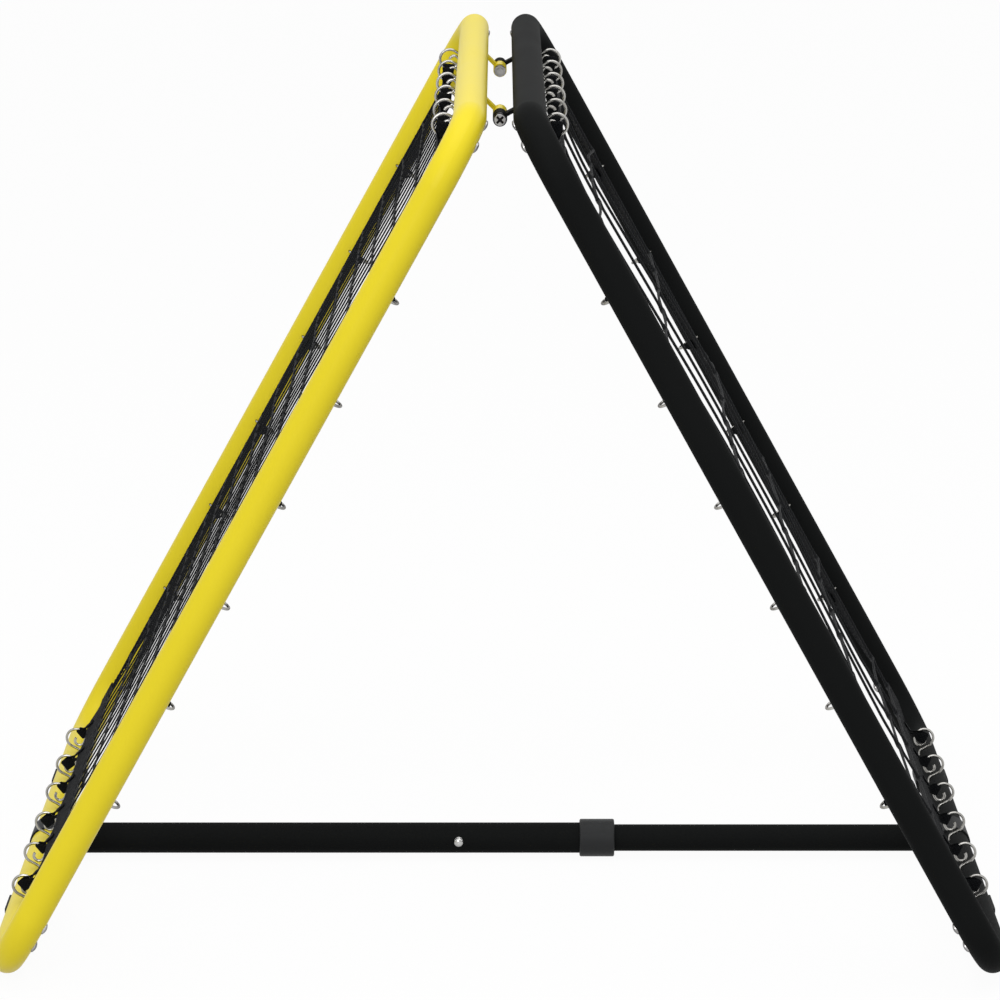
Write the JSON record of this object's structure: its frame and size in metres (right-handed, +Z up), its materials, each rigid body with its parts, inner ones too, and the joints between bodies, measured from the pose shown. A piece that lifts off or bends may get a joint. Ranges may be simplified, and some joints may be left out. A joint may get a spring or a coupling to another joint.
{
  "type": "pitch back rebounder",
  "caption": "Folding A-frame ball rebounder: a yellow and a black square tube frame hinged at the top, each holding a net on wire hooks, with a telescopic brace between their feet.",
  "frame": {"origin": "on the floor, midway between the two frames' feet and in the middle of the width", "axes": "+X from the yellow frame to the black one, along the brace; +Y across the width, with the snap button on the -Y side; +Z up"},
  "size_m": [0.8814, 0.84, 0.756],
  "materials": {
    "yellow_paint": "satin powder coat",
    "black_paint": "satin powder coat",
    "hook_wire": "bright zinc",
    "zinc_steel": "bright zinc",
    "black_plastic": "moulded",
    "grey_plastic": "satin moulded",
    "net_cord": "twisted cord and webbing"
  },
  "bodies": {
    "yellow_frame": {"yellow_top_rail": "yellow_paint", "yellow_bottom_rail": "yellow_paint", "yellow_near_side_tube": "yellow_paint", "yellow_far_side_tube": "yellow_paint", "yellow_top_hooks": "hook_wire", "yellow_bottom_hooks": "hook_wire", "yellow_near_hooks": "hook_wire", "yellow_far_hooks": "hook_wire", "yellow_corner_screws": "zinc_steel", "yellow_hinge_straps": "yellow_paint", "yellow_feet": "black_plastic", "yellow_net": "net_cord", "yellow_net_border": "net_cord", "yellow_net_loops": "net_cord", "hinge_bolts": "zinc_steel", "hinge_washers": "zinc_steel", "hinge_nuts": "zinc_steel"},
    "black_frame": {"black_top_rail": "black_paint", "black_bottom_rail": "black_paint", "black_near_side_tube": "black_paint", "black_far_side_tube": "black_paint", "black_top_hooks": "hook_wire", "black_bottom_hooks": "hook_wire", "black_near_hooks": "hook_wire", "black_far_hooks": "hook_wire", "black_corner_screws": "zinc_steel", "black_hinge_straps": "black_paint", "black_feet": "black_plastic", "black_net": "net_cord", "black_net_border": "net_cord", "black_net_loops": "net_cord"},
    "brace_outer": {"brace_outer_tube": "black_paint", "brace_collar": "grey_plastic", "brace_yellow_sleeve": "black_plastic"},
    "brace_inner": {"brace_inner_tube": "black_paint", "button_spring": "zinc_steel"},
    "brace_end": {"brace_black_sleeve": "black_plastic"},
    "button": {"snap_button": "zinc_steel"}
  },
  "joints": [
    {"name": "frame_fold", "type": "hinge", "parent": "yellow_frame", "child": "black_frame", "pos_m": [0, 0, 0.72301], "axis": [0, 1, 0], "range_deg": [0, 21.5]},
    {"name": "brace_swing", "type": "hinge", "parent": "yellow_frame", "child": "brace_outer", "pos_m": [-0.42468, 0, 0.018], "axis": [0, 1, 0], "range_deg": [0, 10.76]},
    {"name": "brace_slide", "type": "slide", "parent": "brace_outer", "child": "brace_inner", "axis": [-1, 0, 0], "range_m": [0, 0.2781]},
    {"name": "brace_end_swing", "type": "hinge", "parent": "black_frame", "child": "brace_end", "pos_m": [0.42468, 0, 0.018], "axis": [0, 1, 0], "range_deg": [-10.76, 0]},
    {"name": "button_press", "type": "slide", "parent": "brace_outer", "child": "button", "axis": [0, 1, 0], "range_m": [0, 0.0016], "stiffness_N_per_m": 800, "springref_m": -0.002}
  ],
  "couplings": [
    {"joint": "brace_swing", "follows": "frame_fold", "ratio": 0.5},
    {"joint": "brace_slide", "follows": "frame_fold", "m_per_rad": 0.7406},
    {"joint": "brace_end_swing", "follows": "frame_fold", "ratio": -0.5}
  ]
}
